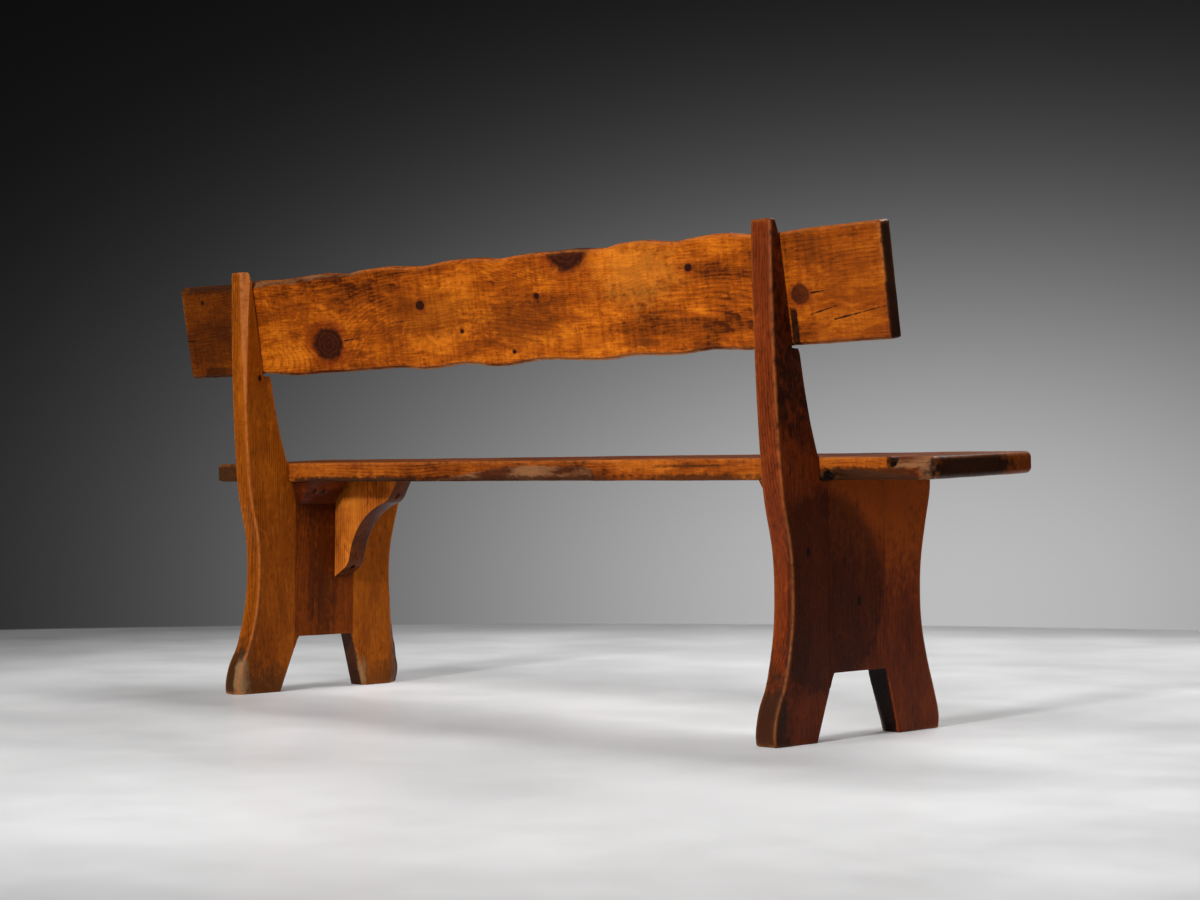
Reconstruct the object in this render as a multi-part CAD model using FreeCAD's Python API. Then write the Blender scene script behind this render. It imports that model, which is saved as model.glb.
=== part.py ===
import FreeCAD
import Part

import math
import os

# Frame: X along the bench, Y from front (-) to back (+), Z up, origin on the floor under the middle.
# All sizes are in millimetres. Left and right are those of a person sitting on the bench.

# Driving sizes of the whole bench
overall_length = 1766.0
overall_height = 820.0
overall_depth = 436.0
panel_spacing = 1366.0
right_overhang = 211.0
board_thickness = 41.5

# The side panels stand a little wider apart at the floor than at the top, in mm for each mm of height
splay = 0.0145
splay_level = 440.0

# Seat plank
seat_depth = 287.0
seat_thickness = 37.0
seat_back_y = 97.5
seat_underside = 412.5
seat_tilt = 2.4
seat_nose_radius = 11.0

# Bark edge missing under the seat's rear edge: its ends, and where it is highest and deepest, along X
middle_wane = {"start_x": 212.0, "end_x": -182.0, "high_x": 30.0, "deep_x": 30.0,
               "height": 19.0, "depth": 9.0}
end_wane = {"start_x": -662.0, "end_x": -944.0, "high_x": -732.0, "deep_x": -697.0,
            "height": 22.0, "depth": 16.0}
# Corner split off the seat's right end: along X, forward from the back and down from the top
split_length = 95.0
split_depth = 36.0
split_drop = 17.0

# Back plank
plank_length = 1742.0
plank_width = 182.0
plank_thickness = 28.0
plank_gap = 4.0
plank_arris = 5.0
# Height of each sawn edge above or below a straight line, evenly spaced from left to right
plank_top_waves = (-1, -2, -2, -1, -3, 2, -1, 2, -3, 1, 3, 2, -5, -2, -1)
plank_foot_waves = (-2, -3, -1, -6, -5, -3, -6, -10, -3, -8, -5, -1, -4, 0, 1)

# Side panels, outlined in Y and Z
foot_reach = overall_depth / 2
waist_reach = 169.0
waist_height = 233.0
shoulder_reach = 203.0
post_seat_y = 196.0
post_top_y = 214.0
post_top_depth = 13.0
notch_top_y = 192.0
notch_top_z = 800.0
notch_foot_y = 160.5
shelf_z = 619.5
shelf_depth = 14.5
arch_height = 107.0
arch_top_front = -74.0
arch_top_rear = 68.0
arch_foot_front = -104.0
arch_foot_rear = 112.0
panel_arris = 4.0
rear_seam_y = 78.0
front_seam_y = -72.0

# Corners missing from the panels' inner faces: where, how wide and deep, and the (y, z) they run out at
left_bites = ({"y": foot_reach, "z": overall_height, "width": 15.0, "depth": 16.0, "end": (200, 480)},
              {"y": foot_reach, "z": 0.0, "width": 16.0, "depth": 17.0, "end": (185, 105)},
              {"y": -foot_reach, "z": 0.0, "width": 30.0, "depth": -46.0, "end": (-171, 190)})
right_bites = ({"y": arch_foot_front, "z": 0.0, "width": 14.0, "depth": 10.0, "end": (-79, 96)},)

# Blocks under the seat
corbel_reach = 186.0
corbel_foot_z = 222.0
corbel_thickness = 40.0
corbel_back_y = -22.0
corbel_nose = 42.0
corbel_nose_cut = 26.0
corbel_sag = 30.0
cleat_top_reach = 56.0
cleat_foot_reach = 15.0
cleat_foot_z = 370.0
cleat_end_slope = 12.0
rear_cleat = {"far_y": 90.0, "near_y": -6.0}
front_cleat = {"far_y": -160.0, "near_y": -79.0}

# Screws: distance out from the panel, height of the head, length and depth of bore in front of the head
corbel_seat_screw = {"out": 165.0, "z": 388.0, "length": 50.0, "bore": 20.0}
corbel_panel_screw = {"out": 22.0, "z": 243.0, "length": 50.0, "bore": 20.0}
cleat_panel_screw = {"out": 34.0, "z": 394.0, "length": 60.0, "bore": 15.0}
cleat_seat_screw = {"out": 9.0, "z": 376.0, "length": 65.0, "bore": 10.0}
cleat_screw_ys = {"rear": (61, 38), "front": (-148, -124)}
cleat_seat_screw_y = {"rear": 16, "front": -100}
plank_screw_length = 45.0
plank_screw_heights = (45.0, 135.0)
screw_radius = 2.4
screw_head_radius = 4.8
screw_head_height = 3.2
screw_head_rim = 0.4
screw_point = 8.0
screw_slot_width = 1.2
screw_slot_depth = 1.3

# Wooden fixings
dowel_radius = 5.0
dowel_length = 56.0
dowel_heights = (145.0, 250.0, 355.0)
plug_length = 7.0
plug_gap = 5.0

# How far a cutting shape stands past the wood that it cuts
clear = 1.0

# Worked out from the driving sizes
right_end_x = -overall_length / 2
left_end_x = overall_length / 2
right_outer_x = right_end_x + right_overhang
left_outer_x = right_outer_x + panel_spacing
seat_top_z = seat_underside + seat_thickness
tilt = math.radians(seat_tilt)
seat_rear_top = (seat_back_y + seat_thickness * math.sin(tilt),
                 seat_underside + seat_thickness * math.cos(tilt))
lean = math.atan2(notch_top_y - notch_foot_y, notch_top_z - shelf_z)
up_plank = FreeCAD.Vector(0, math.sin(lean), math.cos(lean))
through_plank = FreeCAD.Vector(0, math.cos(lean), -math.sin(lean))
sides = {"left": left_outer_x, "right": right_outer_x}


def vector(x, y, z):
    return FreeCAD.Vector(x, y, z)


def under_seat(y):
    """Height of the seat's underside at a depth y."""
    return seat_underside + math.tan(tilt) * (seat_back_y - y)


def inward(outer_x):
    """The way from a panel's outer face towards the middle of the bench."""
    return -1.0 if outer_x > 0 else 1.0


def face_x(outer_x, z, depth=0.0):
    """Where a panel's outer face is at a height z, or a plane some depth inward of it."""
    return outer_x + inward(outer_x) * (depth - splay * (splay_level - z))


# Shapes that several pieces use

def curve(points):
    spline = Part.BSplineCurve()
    spline.interpolate(points)
    return spline.toShape()


def lines(*points):
    return [Part.makeLine(start, end) for start, end in zip(points, points[1:])]


def prism(edges, along):
    outline = Part.Wire(Part.__sortEdges__(edges))
    return Part.Face(outline).extrude(along)


def block(x, y, z):
    """A box from a low and a high value along each axis."""
    return Part.makeBox(x[1] - x[0], y[1] - y[0], z[1] - z[0], vector(x[0], y[0], z[0]))


def wedge(a, b, c, d):
    """A four-cornered solid, for taking a slanting bite out of a corner."""
    rings = ((a, b, c), (a, d, b), (b, d, c), (c, d, a))
    faces = [Part.Face(Part.makePolygon([p, q, r, p])) for p, q, r in rings]
    solid = Part.Solid(Part.Shell(faces))
    if solid.Volume < 0:
        solid.reverse()
    return solid


# Side panels

def rear_outline():
    return [(foot_reach - 2, 0), (foot_reach - 0.5, 20), (foot_reach - 9, 56), (waist_reach + 22, 92),
            (waist_reach + 4, 165), (waist_reach - 1, waist_height), (waist_reach + 3, 302),
            (waist_reach + 20, 376), (post_seat_y, 425), (post_seat_y + 10, 555),
            (post_top_y - 2, 690), (post_top_y, overall_height)]


def front_outline():
    return [(-shoulder_reach, under_seat(-shoulder_reach)), (-shoulder_reach + 2, 391),
            (-waist_reach - 18, 340), (-waist_reach - 5, 285), (-waist_reach - 1, waist_height),
            (-waist_reach - 4, 176), (-waist_reach - 17, 120), (-foot_reach + 12, 62),
            (-foot_reach + 0.5, 24), (-foot_reach + 2, 0)]


def post_front_outline():
    shelf_front = notch_foot_y - shelf_depth
    return [(shelf_front - 4, shelf_z - 7), (shelf_front - 14, 562), (shelf_front - 28, 505),
            (seat_back_y + 8, 468), seat_rear_top]


def panel_solid(outer_x):
    """A whole side panel with its post, before it is cut into boards."""
    def at(y, z):
        return vector(face_x(outer_x, z), y, z)

    rear = [at(y, z) for y, z in rear_outline()]
    front = [at(y, z) for y, z in front_outline()]
    post = [at(y, z) for y, z in post_front_outline()]
    edges = [curve(rear), curve(front), curve(post)]
    edges += lines(rear[-1], at(post_top_y - post_top_depth, overall_height), at(notch_top_y, notch_top_z),
                   at(notch_foot_y, shelf_z), at(notch_foot_y - shelf_depth, shelf_z), post[0])
    edges += lines(post[-1], at(seat_back_y, seat_underside), front[0])
    edges += lines(front[-1], at(arch_foot_front, 0), at(arch_top_front, arch_height),
                   at(arch_top_rear, arch_height), at(arch_foot_rear, 0), rear[0])
    solid = prism(edges, vector(inward(outer_x) * board_thickness, 0, 0))
    return solid.makeFillet(panel_arris, worn_edges(solid, outer_x))


def worn_edges(solid, outer_x):
    """The curved edges that are rubbed round. The left panel's inner ones are bark-side corners instead."""
    depths = (0.0,) if outer_x > 0 else (0.0, board_thickness)
    worn = []
    for edge in solid.Edges:
        point = edge.Vertexes[0].Point
        on_face = any(abs(point.x - face_x(outer_x, point.z, depth)) < 0.01 for depth in depths)
        if on_face and edge.Curve.TypeId == "Part::GeomBSplineCurve":
            worn.append(edge)
    return worn


def corner_bite(outer_x, y, z, width, depth, end):
    """A wedge off an inner corner at y and z, which runs out at a point (y, z) along the panel."""
    level = z + math.copysign(clear, z - splay_level)
    outside = y + math.copysign(clear, depth)
    inner_x = face_x(outer_x, level, board_thickness + clear)
    end_x = face_x(outer_x, end[1], board_thickness + clear)
    cut_x = face_x(outer_x, level, board_thickness - width)
    return wedge(vector(inner_x, outside, level), vector(cut_x, outside, level),
                 vector(inner_x, y - depth, level), vector(end_x, *end))


def split_boards(panel, side):
    """Cut a panel at its two glued seams into a rear, a middle and a front board."""
    spans = {"rear": (rear_seam_y, foot_reach + clear), "middle": (front_seam_y, rear_seam_y),
             "front": (-foot_reach - clear, front_seam_y)}
    boards = {}
    for name, span in spans.items():
        keep = block((right_end_x, left_end_x), span, (-clear, overall_height + clear))
        boards[f"{side}_{name}_board"] = panel.common(keep)
    return boards


# Seat plank: made flat, then tilted back about its rear lower edge

def seat_solid():
    front_y = seat_back_y - seat_depth
    seat = block((right_end_x, left_end_x), (front_y, seat_back_y), (seat_underside, seat_top_z))
    nose = [edge for edge in seat.Edges if edge.Length > overall_length - clear and edge.BoundBox.YMax < 0]
    seat = seat.makeFillet(seat_nose_radius, nose)
    for bite in (wane_bite(**middle_wane), wane_bite(**end_wane), split_corner()):
        seat = seat.cut(bite)
    seat.rotate(vector(0, seat_back_y, seat_underside), vector(1, 0, 0), -seat_tilt)
    return seat


def wane_bite(start_x, end_x, high_x, deep_x, height, depth):
    """A stretch of bark edge missing along the seat's rear lower edge."""
    behind = seat_back_y + clear
    below = seat_underside - clear
    return wedge(vector(start_x, behind, below), vector(end_x, behind, below),
                 vector(high_x, behind, below + height), vector(deep_x, behind - depth, below))


def split_corner():
    """The rear upper corner that has split off at the seat's right end."""
    behind = seat_back_y + clear
    over = seat_top_z + clear
    end_x = right_end_x - clear
    return wedge(vector(end_x, behind, over), vector(end_x + split_length, behind, over),
                 vector(end_x, behind - split_depth, over), vector(end_x, behind, over - split_drop))


# Back plank: outlined on its back face, leaning in the notches of the two posts

def plank_point(x, height):
    """A point on the back plank's rear face, height measured up the plank from its lower edge."""
    foot = vector(x, notch_foot_y + math.tan(lean) * plank_gap, shelf_z + plank_gap)
    return foot + up_plank * height


def live_edge(base, waves):
    step = plank_length / (len(waves) - 1)
    return [plank_point(left_end_x - index * step, base + wave) for index, wave in enumerate(waves)]


def plank_solid():
    top = live_edge(plank_width, plank_top_waves)
    foot = live_edge(0, plank_foot_waves)
    edges = [curve(top), curve(foot)] + lines(top[0], foot[0]) + lines(top[-1], foot[-1])
    plank = prism(edges, through_plank * -plank_thickness)
    long_edges = [edge for edge in plank.Edges if edge.Length > plank_length - clear]
    return plank.makeFillet(plank_arris, long_edges)


# Corbels and cleats, which hang on a panel's inner face and reach under the seat

def corbel_solid(outer_x):
    """A bracket with a square nose at each end and a hollow curve between them."""
    top_z = under_seat(corbel_back_y)
    drop = top_z - corbel_foot_z
    above = under_seat(corbel_back_y) - under_seat(corbel_back_y - corbel_thickness) - clear

    def at(out, down):
        return vector(face_x(outer_x, top_z - down, board_thickness + out), corbel_back_y, top_z - down)

    top_nose = at(corbel_reach - corbel_nose_cut, corbel_nose)
    foot_nose = at(corbel_nose, drop - corbel_nose_cut)
    hollow = (corbel_nose + corbel_reach - corbel_nose_cut) / 2 - corbel_sag / math.sqrt(2)
    edges = lines(foot_nose, at(0, drop), at(0, above), at(corbel_reach, above), at(corbel_reach, 0),
                  top_nose)
    edges.append(Part.Arc(top_nose, at(hollow, hollow + drop - corbel_reach), foot_nose).toShape())
    return prism(edges, vector(0, -corbel_thickness, 0))


def cleat_solid(outer_x, far_y, near_y):
    """A block with a slanting face. Its far end slants too, and its near end is square."""
    top_z = under_seat(min(far_y, near_y)) + clear

    def at(out, z):
        return vector(face_x(outer_x, z, board_thickness + out), near_y, z)

    edges = lines(at(0, cleat_foot_z), at(0, top_z), at(cleat_top_reach, top_z),
                  at(cleat_foot_reach, cleat_foot_z), at(0, cleat_foot_z))
    cleat = prism(edges, vector(0, far_y - near_y, 0))
    slant = math.copysign(cleat_end_slope, near_y - far_y)
    beyond = far_y - slant
    corners = [vector(0, far_y, top_z + clear), vector(0, beyond, top_z + clear),
               vector(0, beyond, cleat_foot_z - clear), vector(0, far_y + slant, cleat_foot_z - clear)]
    offcut = prism(lines(*corners, corners[0]), vector(-inward(outer_x) * overall_length, 0, 0))
    return cleat.cut(offcut)


def room_for_seat():
    """The space above the seat's underside, which the blocks are trimmed to."""
    room = block((right_end_x, left_end_x), (-overall_depth, seat_back_y), (seat_underside, overall_height))
    room.rotate(vector(0, seat_back_y, seat_underside), vector(1, 0, 0), -seat_tilt)
    return room


# Fixings: each is made pointing along Z from the top of its head, then turned and placed

def placed(shape, start, way):
    turn = FreeCAD.Rotation(vector(0, 0, 1), way)
    moved = shape.copy()
    moved.Placement = FreeCAD.Placement(start, turn)
    return moved


def turned(profile):
    """A solid of revolution about Z from (radius, height) points."""
    points = [vector(radius, 0, height) for radius, height in profile]
    face = Part.Face(Part.Wire(lines(*points, points[0])))
    return face.revolve(vector(0, 0, 0), vector(0, 0, 1), 360)


def screw_blank(length):
    return turned([(0, 0), (screw_head_radius, 0), (screw_head_radius, screw_head_rim),
                   (screw_radius, screw_head_height), (screw_radius, length - screw_point), (0, length)])


def screw_solid(length):
    slot = block((-screw_head_radius, screw_head_radius), (-screw_slot_width / 2, screw_slot_width / 2),
                 (-clear, screw_slot_depth))
    return screw_blank(length).cut(slot)


def screw_hole(length, recess):
    """The room a screw takes, with a straight bore of some depth in front of its head."""
    bore = Part.makeCylinder(screw_head_radius, recess, vector(0, 0, -recess))
    return screw_blank(length).fuse(bore)


def fixing_plan():
    """Each screw: name, start of its head, direction, length and depth of bore in front of the head."""
    plan = []
    into_seat = vector(0, 0, 1)
    corbel_y = corbel_back_y - corbel_thickness / 2
    for side, outer_x in sides.items():
        into_panel = vector(-inward(outer_x), 0, 0)

        def add(name, size, y, way):
            start = vector(face_x(outer_x, size["z"], board_thickness + size["out"]), y, size["z"])
            plan.append((f"{side}_{name}", start, way, size["length"], size["bore"]))

        add("corbel_seat_screw", corbel_seat_screw, corbel_y, into_seat)
        add("corbel_panel_screw", corbel_panel_screw, corbel_y, into_panel)
        for name, ys in cleat_screw_ys.items():
            for number, y in enumerate(ys, 1):
                add(f"{name}_cleat_screw_{number}", cleat_panel_screw, y, into_panel)
            add(f"{name}_cleat_seat_screw", cleat_seat_screw, cleat_seat_screw_y[name], into_seat)
        for number, height in enumerate(plank_screw_heights, 1):
            z = plank_point(0, height).z
            x = face_x(outer_x, z, board_thickness / 2)
            start = plank_point(x, height) + through_plank * (plug_length - plank_thickness)
            plan.append((f"{side}_plank_screw_{number}", start, through_plank, plank_screw_length,
                         plug_length + plug_gap))
    return plan


def plug_solid(start):
    """A wooden plug in front of a plank screw, flush with the plank's front face."""
    return placed(Part.makeCylinder(screw_head_radius, plug_length), start - through_plank * plug_length,
                  through_plank)


def dowel_solids():
    dowels = {}
    dowel = Part.makeCylinder(dowel_radius, dowel_length)
    for side, outer_x in sides.items():
        for name, y in (("rear", rear_seam_y), ("front", front_seam_y)):
            for number, z in enumerate(dowel_heights, 1):
                start = vector(face_x(outer_x, z, board_thickness / 2), y - dowel_length / 2, z)
                dowels[f"{side}_{name}_seam_dowel_{number}"] = placed(dowel, start, vector(0, 1, 0))
    return dowels


# The whole bench

def wooden_pieces():
    pieces = {"seat": seat_solid(), "back_plank": plank_solid()}
    room = room_for_seat()
    for side, outer_x in sides.items():
        panel = panel_solid(outer_x)
        for bite in left_bites if side == "left" else right_bites:
            panel = panel.cut(corner_bite(outer_x, **bite))
        pieces.update(split_boards(panel, side))
        pieces[f"{side}_corbel"] = corbel_solid(outer_x).cut(room)
        pieces[f"{side}_rear_cleat"] = cleat_solid(outer_x, **rear_cleat).cut(room)
        pieces[f"{side}_front_cleat"] = cleat_solid(outer_x, **front_cleat).cut(room)
    return pieces


def fixings():
    """The fixings by name, and the room that each one needs in the wood."""
    solids = {}
    holes = []
    for name, start, way, length, recess in fixing_plan():
        solids[name] = placed(screw_solid(length), start, way)
        holes.append(placed(screw_hole(length, recess), start, way))
        if "plank_screw" in name:
            solids[name.replace("screw", "plug")] = plug_solid(start)
    for name, dowel in dowel_solids().items():
        solids[name] = dowel
        holes.append(dowel)
    return solids, holes


def main():
    os.makedirs("parts", exist_ok=True)
    solids, holes = fixings()
    pieces = wooden_pieces()
    for name, piece in pieces.items():
        near = [hole for hole in holes if hole.BoundBox.intersect(piece.BoundBox)]
        for hole in near:
            piece = piece.cut(hole)
        pieces[name] = piece
    pieces.update(solids)
    for name, piece in pieces.items():
        piece.exportStep(f"parts/{name}.step")
        box = piece.optimalBoundingBox()
        spans = ((box.XMin, box.XMax), (box.YMin, box.YMax), (box.ZMin, box.ZMax))
        size = ", ".join(f"{low:.1f}..{high:.1f}" for low, high in spans)
        state = f"{len(piece.Solids)} solid, valid {piece.isValid()}, {piece.Volume / 1000:.1f} cm3"
        print(f"{name}: {state}, {size}")


main()
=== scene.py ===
# %% [markdown]
# # A long pine bench
#
# Two waisted panels of glued boards carry a thick seat plank and a back plank whose long edges
# still follow the tree. Everything is pine, stained orange-brown, varnished, and worn by use.
# The solids come from CAD as a fixed frame. Each wooden piece is then carved again here, with
# rounded arrises, bark edges and splits, and gets a finish made of nodes.
# %% The frame and its box
import math
import bmesh
import bpy
from mathutils import Matrix, Vector, noise


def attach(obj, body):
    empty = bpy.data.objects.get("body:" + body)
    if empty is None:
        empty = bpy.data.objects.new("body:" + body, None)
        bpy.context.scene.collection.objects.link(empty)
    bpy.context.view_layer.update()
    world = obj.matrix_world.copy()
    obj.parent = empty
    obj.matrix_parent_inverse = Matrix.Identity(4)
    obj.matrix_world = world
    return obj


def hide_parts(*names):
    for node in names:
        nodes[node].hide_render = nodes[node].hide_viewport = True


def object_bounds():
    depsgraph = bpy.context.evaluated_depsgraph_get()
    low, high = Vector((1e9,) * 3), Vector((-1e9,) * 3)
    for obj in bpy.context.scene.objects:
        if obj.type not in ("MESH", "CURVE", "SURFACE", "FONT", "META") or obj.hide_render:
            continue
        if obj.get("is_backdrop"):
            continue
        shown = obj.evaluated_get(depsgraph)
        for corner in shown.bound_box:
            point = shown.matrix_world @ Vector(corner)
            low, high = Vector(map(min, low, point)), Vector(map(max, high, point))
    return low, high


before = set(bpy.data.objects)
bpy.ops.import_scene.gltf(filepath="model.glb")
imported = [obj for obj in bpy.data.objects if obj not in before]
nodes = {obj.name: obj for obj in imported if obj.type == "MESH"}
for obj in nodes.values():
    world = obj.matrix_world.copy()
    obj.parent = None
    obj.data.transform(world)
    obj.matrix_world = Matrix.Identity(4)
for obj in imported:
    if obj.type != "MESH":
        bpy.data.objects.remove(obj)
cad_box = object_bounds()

print(len(nodes), "solids in a box", [[round(value, 3) for value in corner] for corner in cad_box])

# %% [markdown]
# ## The camera
#
# The bench was photographed from behind its right end, with a long lens held at seat height.
# A camera could be posed by eye, but here its place and its lens were solved from the corners
# of the panels, so that every piece lands where it does in the picture.
# %% Camera
camera_at = Vector((-2.9401, 2.9963, 0.4005))
heading = math.radians(43.46)
rise = math.radians(0.944)
view_way = Vector((math.sin(heading) * math.cos(rise), -math.cos(heading) * math.cos(rise), math.sin(rise)))

camera_data = bpy.data.cameras.new("long_lens")
camera_data.sensor_width = 36.0
camera_data.lens = 69.57
camera = bpy.data.objects.new("long_lens", camera_data)
camera.location = camera_at
camera.rotation_euler = view_way.to_track_quat("-Z", "Y").to_euler()
bpy.context.collection.objects.link(camera)
bpy.context.scene.camera = camera
bpy.context.scene.view_settings.view_transform = "Standard"
print("camera looks along", [round(value, 3) for value in view_way])

# %% [markdown]
# ## Helpers
#
# Finishes are built from many small maths nodes. Written out one by one they would hide the
# idea, so each helper adds a node, a sum, a smooth step or a noise in one line, and the recipes
# below read like recipes. The last two start a material and turn a mesh into an object.
# %% Helpers for node trees
def feed(tree, socket, value):
    """Gives a socket a plain value, or links another node's output to it."""
    if isinstance(value, bpy.types.NodeSocket):
        tree.links.new(value, socket)
    elif isinstance(socket.default_value, float):
        socket.default_value = value
    else:
        socket.default_value = tuple(value) + (1.0,) * (len(socket.default_value) - len(value))


def add(tree, kind, *values, settings=(), **named):
    """Adds a node. Values go to its inputs in order, and named ones by their name."""
    made = tree.nodes.new(kind)
    for name, value in dict(settings).items():
        setattr(made, name, value)
    for index, value in enumerate(values):
        feed(tree, made.inputs[index], value)
    for name, value in named.items():
        feed(tree, made.inputs[name.replace("_", " ")], value)
    return made


def calc(tree, operation, *values):
    return add(tree, "ShaderNodeMath", *values, settings={"operation": operation}).outputs[0]


def vector_calc(tree, operation, *values):
    made = add(tree, "ShaderNodeVectorMath", *values, settings={"operation": operation})
    return made.outputs["Value" if operation in ("LENGTH", "DOT_PRODUCT", "DISTANCE") else "Vector"]


def weighted(tree, total, *terms):
    """A start value plus each term's value times its weight."""
    for value, weight in terms:
        total = calc(tree, "MULTIPLY_ADD", value, weight, total)
    return total


def swing(tree, value, size):
    """A noise moved to lie round 0, and scaled to a size."""
    return calc(tree, "MULTIPLY", calc(tree, "SUBTRACT", value, 0.5), size)


def ramp(tree, value, low, high, start=0.0, end=1.0):
    """A smooth step: start below low, end above high."""
    made = add(tree, "ShaderNodeMapRange", settings={"interpolation_type": "SMOOTHSTEP"},
               Value=value, From_Min=low, From_Max=high, To_Min=start, To_Max=end)
    return made.outputs[0]


def mottle(tree, vector, stretch, detail=2.0, roughness=0.5):
    """Noise with its own scale along each axis, from 0 to 1."""
    scaled = vector_calc(tree, "MULTIPLY", vector, stretch)
    made = add(tree, "ShaderNodeTexNoise", Vector=scaled, Scale=1.0, Detail=detail, Roughness=roughness)
    return made.outputs[0]


def blend(tree, amount, under, over):
    """Mixes colours. The node has sockets for numbers too, so the colours' are found by index."""
    under_socket, over_socket, mixed_socket = 6, 7, 2
    made = add(tree, "ShaderNodeMix", amount, settings={"data_type": "RGBA"})
    feed(tree, made.inputs[under_socket], under)
    feed(tree, made.inputs[over_socket], over)
    return made.outputs[mixed_socket]


def between(tree, amount, under, over):
    """Mixes numbers."""
    return calc(tree, "MULTIPLY_ADD", amount, calc(tree, "SUBTRACT", over, under), under)


def new_group(name, vectors, numbers, outputs):
    """A node group with vectors and numbers going in and numbers coming out, and its end nodes."""
    tree = bpy.data.node_groups.new(name, "ShaderNodeTree")
    number = "NodeSocketFloat"
    for labels, way, kind in ((vectors, "INPUT", "NodeSocketVector"), (numbers, "INPUT", number),
                              (outputs, "OUTPUT", number)):
        for label in labels:
            tree.interface.new_socket(name=label, in_out=way, socket_type=kind)
    print("node group", name, "gives", ", ".join(outputs))
    return tree, tree.nodes.new("NodeGroupInput").outputs, tree.nodes.new("NodeGroupOutput").inputs


def use(tree, group, **named):
    return add(tree, "ShaderNodeGroup", settings={"node_tree": group}, **named).outputs


def paint(red, green, blue):
    """A colour as it is read off a screen, turned into the numbers that light works with."""
    return tuple(((part / 255 + 0.055) / 1.055) ** 2.4 if part > 10 else part / 3295
                 for part in (red, green, blue))


def new_material(name):
    """A material, its node tree, the sockets of its shader, and the place on the object."""
    material = bpy.data.materials.new(name)
    material.use_nodes = True
    tree = material.node_tree
    place = add(tree, "ShaderNodeTexCoord").outputs["Object"]
    return material, tree, tree.nodes["Principled BSDF"].inputs, place


def as_object(bm, name):
    mesh = bpy.data.meshes.new(name)
    bm.to_mesh(mesh)
    bm.free()
    made = bpy.data.objects.new(name, mesh)
    bpy.context.collection.objects.link(made)
    return made


print("helpers are ready")

# %% [markdown]
# ## Growth rings
#
# A plank is a slice of a tree, so its figure is a slice of nested cylinders. The distance from a
# pith line, bent a little by slow noise, gives rings that run straight on a quarter-sawn edge and
# open into long arches on a flat face. A striped texture would be quicker, but it would show the
# same stripes on every side. Fibres and clouds of stain are two more noises, stretched along
# the grain.
# %% Node group: figure of the timber
timber, come, go = new_group("timber_figure", ("Vector", "Pith"), ("Swirl", "Ring Gap", "Wander"),
                             ("Rings", "Fibre", "Clouds", "Curl"))
wood = come["Vector"]
bend = swing(timber, mottle(timber, wood, (1.3, 4.0, 4.0), 2.0), come["Wander"])
wobble = mottle(timber, wood, (18.0, 90.0, 90.0))
from_pith = vector_calc(timber, "SUBTRACT", wood, come["Pith"])
flattened = vector_calc(timber, "MULTIPLY", from_pith, (0.0, 1.0, 1.0))
distance = weighted(timber, vector_calc(timber, "LENGTH", flattened), (bend, 1.0), (wobble, 0.004),
                    (come["Swirl"], 1.0))
phase = calc(timber, "FRACT", calc(timber, "DIVIDE", distance, come["Ring Gap"]))
darkening = ramp(timber, phase, 0.45, 0.92)
late_wood = calc(timber, "MULTIPLY", darkening, ramp(timber, phase, 0.92, 1.0, 1.0, 0.0))
uneven = ramp(timber, mottle(timber, wood, (4.0, 16.0, 16.0), 2.0), 0.38, 0.62, 0.1, 1.0)
feed(timber, go["Rings"], calc(timber, "MULTIPLY", late_wood, uneven))
feed(timber, go["Fibre"], ramp(timber, mottle(timber, wood, (26.0, 380.0, 380.0), 3.0, 0.6), 0.3, 0.7))
feed(timber, go["Clouds"], mottle(timber, wood, (6.0, 20.0, 20.0), 5.0, 0.62))
drift = swing(timber, mottle(timber, wood, (9.0, 9.0, 9.0)), 0.16)
sideways = add(timber, "ShaderNodeCombineXYZ", drift, drift, 0.0).outputs[0]
bent_place = vector_calc(timber, "ADD", wood, sideways)
feed(timber, go["Curl"], ramp(timber, mottle(timber, bent_place, (34.0, 70.0, 70.0), 1.0), 0.52, 0.78))

# %% [markdown]
# ## Knots
#
# A knot is a branch that the tree grew round. It has a dark core with rings of its own and a
# resin-red halo, and the rings of the trunk flow past it. So the group gives masks for these
# parts, and a swirl that is added to the distance from the pith, which closes the rings round
# the knot by itself.
# %% Node group: knot
knot, come, go = new_group("knot", ("Vector", "Centre", "Half Size"), ("Pull", "Ragged"),
                           ("Core", "Halo", "Swirl", "Inner Rings"))
apart = vector_calc(knot, "SUBTRACT", come["Vector"], come["Centre"])
ovalled = vector_calc(knot, "LENGTH", vector_calc(knot, "DIVIDE", apart, come["Half Size"]))
reach = calc(knot, "ADD", ovalled, swing(knot, come["Ragged"], 0.55))
feed(knot, go["Core"], ramp(knot, reach, 0.8, 1.05, 1.0, 0.0))
feed(knot, go["Halo"], ramp(knot, reach, 0.9, 1.75, 1.0, 0.0))
ringing = calc(knot, "SINE", calc(knot, "MULTIPLY", reach, 24.0))
feed(knot, go["Inner Rings"], calc(knot, "MULTIPLY_ADD", ringing, 0.5, 0.5))
falling = calc(knot, "EXPONENT", calc(knot, "MULTIPLY", calc(knot, "MULTIPLY", ovalled, ovalled), -0.13))
height = add(knot, "ShaderNodeSeparateXYZ", come["Half Size"]).outputs[1]
feed(knot, go["Swirl"], calc(knot, "MULTIPLY", falling, calc(knot, "MULTIPLY", height, come["Pull"])))

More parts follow.
